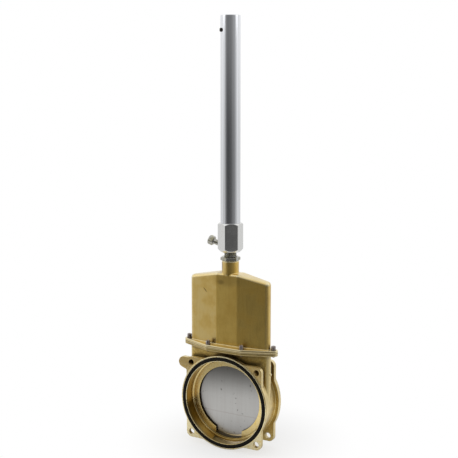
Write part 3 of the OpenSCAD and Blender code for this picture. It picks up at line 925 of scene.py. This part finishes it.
class KNIFEGATE_OT_cylinder(bpy.types.Operator):
    """Turn the cylinder's hexagonal head, lock nut and tube"""

    bl_idname = "knife_gate.cylinder"
    bl_label = "Cylinder"

    def execute(self, context):
        sizes = context.scene.knife_gate.turned
        self.head(sizes)
        self.nut(sizes)
        self.tube(sizes)
        return {"FINISHED"}

    def head(self, sizes):
        """The head, bored for the rod, on a threaded spigot that is left passivated."""
        spigot, bore = sizes.spigot / 2 / MM, sizes.tube_bore / 2 / MM
        root, pitch = spigot - RIDGE * sizes.spigot_pitch / MM, sizes.spigot_pitch / MM
        low, high = ends("cylinder_head")
        nut_top, tube_foot = ends("lock_nut")[1], ends("cylinder_tube")[0]
        shoulder, floor, flats = 329.6, 332, sizes.head_flats / MM
        rod, chamber, corner = 9.05, 12.5, 27.9
        outline = [
            (rod, low), (spigot, low), (spigot, nut_top - 3), (root, nut_top - 2), (root, shoulder),
            (21, shoulder, 0.8, flats), (corner, shoulder + 6.8, 3.0, flats),
            (corner, tube_foot - 3.4, 0.8, flats), (24.4, tube_foot, 0.6, flats),
            (bore, tube_foot), (bore, high, 0.5), (chamber, high), (chamber, floor), (rod, floor),
        ]
        head = grown(
            wound_tree("spigot_thread", "clear_zinc"),
            lathe(outline, 288, sizes.head_turn, 0.7 * MM),
            {
                "Radius": root * MM, "Pitch": sizes.spigot_pitch,
                "Wire": RIDGE * sizes.spigot_pitch, "Start": (nut_top - 1) * MM,
                "Length": (shoulder - nut_top - pitch / 2 + 1) * MM,
            },
        )
        head.transform(UPRIGHT)
        lay_piece(
            "head_turned", head, ["clear_zinc", "passivated_zinc"],
            ["cylinder_head"],
        )
        for face in head.polygons:
            if face.center.z < shoulder * MM:
                face.material_index = 1

    def nut(self, sizes):
        """The flat hexagonal nut that locks the spigot on the neck."""
        low, high = ends("lock_nut")
        flats, hole = sizes.nut_flats / MM, sizes.spigot / 2 / MM
        rim, corner = 17.5, 22.2
        outline = [
            (hole, low), (rim, low, 0.4, flats), (corner, low + 1.5, 0.4, flats),
            (corner, high - 2.2, 0.4, flats), (rim, high, 0.4, flats), (hole + 1, high, 0.3),
            (hole, high - 1),
        ]
        nut = lathe(outline, 240, sizes.head_turn, 0.6 * MM)
        nut.transform(UPRIGHT)
        lay_piece("nut_turned", nut, ["passivated_zinc"], ["lock_nut"])

    def tube(self, sizes):
        """The drawn tube, with its upper edge eased."""
        low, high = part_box("cylinder_tube")
        outer, bore = (high.x - low.x) / 2 / MM, sizes.tube_bore / 2 / MM
        foot, top = ends("cylinder_tube")
        outline = [
            (bore, foot), (outer, foot, 0.4), (outer, foot + 2), (outer, top - 3),
            (outer, top, 1.2), (bore, top, 0.8),
        ]
        tube = lathe(outline, 128)
        tube.transform(UPRIGHT)
        lay_piece("tube_drawn", tube, ["drawn_steel"], ["cylinder_tube"])


class KNIFEGATE_OT_port(bpy.types.Operator):
    """Turn the tilted oil fitting on the head's side, with the thread in its mouth"""

    bl_idname = "knife_gate.port"
    bl_label = "Oil Fitting"

    def execute(self, context):
        sizes = context.scene.knife_gate.turned
        place = (
            UPRIGHT
            @ Matrix.Rotation(PORT_TURN, 4, "Z")
            @ Matrix.Translation((sizes.head_flats / 2, 0, PORT_HEIGHT))
            @ Matrix.Rotation(-sizes.port_tilt, 4, "Y")
            @ Matrix.Rotation(math.pi / 2, 4, "Y")
        )
        flats, mouth, neck, hole = sizes.port_flats / MM, 5.9, 5.7, 3
        foot, collar, corner, lip = -6, 16, 11.2, 27.5
        outline = [
            (hole, foot), (neck, foot), (neck, collar, 0.5), (9, collar, 0.3, flats),
            (corner, 17.3, 0.4, flats), (corner, 25.6, 0.4, flats), (8.8, lip, 0.4, flats),
            (6.9, lip, 0.3), (mouth + 0.1, 26.8), (mouth + 0.1, 18.5), (hole, 17),
        ]
        fitting = grown(
            wound_tree("port_thread", "passivated_zinc"), lathe(outline, 192, 0.0, 0.6 * MM),
            {
                "Radius": (mouth + 0.2) * MM, "Pitch": sizes.port_pitch, "Start": 19 * MM,
                "Length": 6 * MM, "Wire": RIDGE * sizes.port_pitch,
            },
        )
        fitting.transform(place)
        lay_piece("port_turned", fitting, ["passivated_zinc"], ["port_adapter"])
        return {"FINISHED"}


class KNIFEGATE_OT_spring(bpy.types.Operator):
    """Wind the return spring at one length; in the valve it shortens against the end plug as the
    gate lifts
    """

    bl_idname = "knife_gate.spring"
    bl_label = "Return Spring"

    def execute(self, context):
        sizes = context.scene.knife_gate.spring
        low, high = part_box("return_spring")
        height = high.z - low.z
        rise = height - sizes.wire
        coil = grown(
            wound_tree("spring_winding", "clear_zinc"), bpy.data.meshes.new("no_core"),
            {
                "Radius": (high.x - low.x - sizes.wire) / 2, "Pitch": rise / sizes.turns,
                "Start": low.z + sizes.wire / 2, "Length": rise, "Wire": sizes.wire / 2,
                "Sides": 8,
            },
        )
        coil.transform(UPRIGHT)
        spring = lay_piece("spring_wound", coil, ["clear_zinc"], ["return_spring"])
        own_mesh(spring)
        return {"FINISHED"}


class KNIFEGATE_OT_finishes(bpy.types.Operator):
    """Give every solid that still shows its finish"""

    bl_idname = "knife_gate.finishes"
    bl_label = "Finishes"

    plain = {
        "flange_o_ring": "nitrile_rubber",
        "bonnet_gasket": "pressed_fibre",
        "rod_packing": "pressed_fibre",
        "rod_seal": "nitrile_rubber",
        "piston_seal": "nitrile_rubber",
        "end_plug": "clear_zinc",
        "breather": "sintered_bronze",
        "gate_blade": "brushed_stainless",
        "rod_block": "clear_zinc",
        "block_pin": "drawn_steel",
        "piston_rod": "drawn_steel",
        "piston": "clear_zinc",
        "piston_nut": "clear_zinc",
    }

    def execute(self, context):
        for name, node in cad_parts.items():
            if node.hide_render:
                continue
            if name not in self.plain:
                raise RuntimeError(f"{name} has no finish")
            for slot in node.material_slots:
                slot.link = "OBJECT"
                slot.material = finish_named(self.plain[name])
        return {"FINISHED"}


class KNIFEGATE_OT_stage(bpy.types.Operator):
    """Set the table, the room's light and the camera"""

    bl_idname = "knife_gate.stage"
    bl_label = "Stage"

    def execute(self, context):
        scene = context.scene
        stage = scene.knife_gate.stage
        scene.view_settings.view_transform = "Standard"
        self.table(stage)
        self.room(scene)
        self.lamps(stage)
        self.camera(scene, stage)
        return {"FINISHED"}

    def rays(self, tree):
        """The ray's kinds, and a node that is 1 for one that metal or glass sends on."""
        ray = add(tree, "ShaderNodeLightPath").outputs
        mirrored = add(
            tree, "ShaderNodeMath",
            {0: ray["Is Glossy Ray"], 1: ray["Is Transmission Ray"]}, operation="ADD",
        )
        return ray, mirrored

    def table(self, stage):
        """A small round table of white laminate, matt and even, that fades into the white behind
        it. Bright metal shows it as glowing, with a painted shadow that dims it at the valve's
        foot."""
        bm = bmesh.new()
        bmesh.ops.create_circle(bm, cap_ends=True, segments=96, radius=stage.table_radius)
        bm.transform(Matrix.Translation((0, MID_Y, cad_box[0].z)))
        mesh = bpy.data.meshes.new("table")
        bm.to_mesh(mesh)
        bm.free()
        tree, place = start_material("white_laminate")
        paint = add(
            tree, "ShaderNodeBsdfPrincipled",
            {"Base Color": linear("#F2F2F2"), "Roughness": 0.8},
        )
        ray, mirrored = self.rays(tree)
        out = add(tree, "ShaderNodeVectorMath", {0: place}, operation="LENGTH").outputs["Value"]
        seen = add(
            tree, "ShaderNodeMapRange",
            {"Value": out, "From Min": 0.08, "From Max": 0.3, "To Min": 0.6}, **SMOOTH,
        )
        # Painted shadow: mirror rays see the glow dimmed near the valve's foot.
        dim = add(
            tree, "ShaderNodeMapRange",
            {"Value": out, "From Min": 0.05, "From Max": 0.27, "To Min": 0.15}, **SMOOTH,
        )
        share = add(
            tree, "ShaderNodeMath",
            {0: ray["Is Camera Ray"], 1: seen, 2: mirrored}, operation="MULTIPLY_ADD",
        )
        strength = add(tree, "ShaderNodeMix", {0: mirrored, 2: 1.0, 3: dim}, data_type="FLOAT")
        glow = add(tree, "ShaderNodeEmission", {"Color": (1, 1, 1, 1), "Strength": strength})
        mixed = add(tree, "ShaderNodeMixShader", {0: share, 1: paint, 2: glow})
        add(tree, "ShaderNodeOutputMaterial", {"Surface": mixed})
        mesh.materials.append(bpy.data.materials["white_laminate"])
        linked("table", mesh)

    def room(self, scene):
        """White walls, lighter upwards, and one dim end, which gives bright metal its dark
        stripes. What the camera looks at is plain white."""
        world = bpy.data.worlds.new("studio")
        world.use_nodes = True
        scene.world = world
        tree = world.node_tree
        tree.nodes.clear()
        way = add(tree, "ShaderNodeTexCoord").outputs["Generated"]
        parts = add(tree, "ShaderNodeSeparateXYZ", {0: way}).outputs
        front = add(tree, "ShaderNodeMath", {0: parts["Y"], 1: -1}, operation="MULTIPLY")
        angle = add(tree, "ShaderNodeMath", {0: parts["X"], 1: front}, operation="ARCTAN2")
        round_share = add(
            tree, "ShaderNodeMapRange",
            {"Value": angle, "From Min": -math.pi, "From Max": math.pi},
        )
        walls = add(tree, "ShaderNodeValToRGB", {0: round_share})
        self.fill_ramp(walls, [((degrees + 180) / 360, level) for degrees, level in WALLS])
        # Below the skyline they are a little darker.
        climb = add(
            tree, "ShaderNodeMapRange",
            {"Value": parts["Z"], "From Min": -0.1, "From Max": 0.1, "To Min": 0.78}, **SMOOTH,
        )
        walls = add(tree, "ShaderNodeMath", {0: walls, 1: climb}, operation="MULTIPLY")
        up_share = add(tree, "ShaderNodeMapRange", {"Value": parts["Z"], "From Min": -1.0})
        rise = add(tree, "ShaderNodeValToRGB", {0: up_share})
        self.fill_ramp(rise, [((height + 1) / 2, share) for height, share in RISE])
        walls = add(tree, "ShaderNodeMix", {0: rise, 2: walls, 3: 1.0}, data_type="FLOAT")
        ray, mirrored = self.rays(tree)
        level = add(tree, "ShaderNodeMix", {0: mirrored, 2: 0.75, 3: walls}, data_type="FLOAT")
        level = add(
            tree, "ShaderNodeMix", {0: ray["Is Camera Ray"], 2: level, 3: 1.0}, data_type="FLOAT"
        )
        back = add(tree, "ShaderNodeBackground", {"Color": (1, 1, 1, 1), "Strength": level})
        add(tree, "ShaderNodeOutputWorld", {"Surface": back})

    def fill_ramp(self, node, stops):
        """Sets a ramp of greys from (position, level) pairs."""
        elements = node.color_ramp.elements
        while len(elements) < len(stops):
            elements.new(1.0)
        for element, (position, level) in zip(elements, stops):
            element.position = position
            element.color = (level, level, level, 1)

    def lamps(self, stage):
        """Two soft boxes, high on the left and on the right, aimed at the bonnet."""
        bonnet = Vector((0, MID_Y, 0.3))
        for name, at, size, share in (
            ("left_box", (-1.5, -1.3, 1.5), 1.2, 1.0),
            ("right_box", (1.9, 0.3, 1.4), 1.0, 0.6),
        ):
            lamp = bpy.data.lights.new(name, "AREA")
            lamp.size = size
            lamp.energy = stage.key_power * share
            aim = (bonnet - Vector(at)).to_track_quat("-Z", "Y").to_matrix().to_4x4()
            linked(name, lamp).matrix_world = Matrix.Translation(at) @ aim

    def camera(self, scene, stage):
        """A long lens at chest height, a little to the right of the valve's face."""
        lens = bpy.data.cameras.new("camera")
        lens.lens = stage.lens
        lens.sensor_width = 36
        turn = Matrix(CAMERA_AXES).transposed().to_quaternion().to_matrix().to_4x4()
        camera = linked("camera", lens)
        camera.matrix_world = Matrix.Translation(CAMERA_AT) @ turn
        scene.camera = camera


class KNIFEGATE_PT_panel(bpy.types.Panel):
    """Lists the steps that dress the valve"""

    bl_label = "Knife Gate"
    bl_idname = "KNIFEGATE_PT_panel"
    bl_space_type = "VIEW_3D"
    bl_region_type = "UI"
    bl_category = "Knife Gate"

    def draw(self, context):
        for operator in OPERATORS:
            self.layout.operator(operator.bl_idname)


GROUPS = (CastingSizes, TurnedSizes, FastenerSizes, SpringSizes, Finishes, Stage, KnifeGate)
OPERATORS = (
    KNIFEGATE_OT_castings,
    KNIFEGATE_OT_seats,
    KNIFEGATE_OT_fasteners,
    KNIFEGATE_OT_cylinder,
    KNIFEGATE_OT_port,
    KNIFEGATE_OT_spring,
    KNIFEGATE_OT_finishes,
    KNIFEGATE_OT_stage,
)


def register():
    for cls in (*GROUPS, *OPERATORS, KNIFEGATE_PT_panel):
        bpy.utils.register_class(cls)
    bpy.types.Scene.knife_gate = PointerProperty(type=KnifeGate)


def unregister():
    del bpy.types.Scene.knife_gate
    for cls in reversed((*GROUPS, *OPERATORS, KNIFEGATE_PT_panel)):
        bpy.utils.unregister_class(cls)


def main():
    register()
    bpy.ops.knife_gate.castings()
    bpy.ops.knife_gate.seats()
    bpy.ops.knife_gate.fasteners()
    bpy.ops.knife_gate.cylinder()
    bpy.ops.knife_gate.port()
    bpy.ops.knife_gate.spring()
    bpy.ops.knife_gate.finishes()
    bpy.ops.knife_gate.stage()


if __name__ == "__main__":
    main()
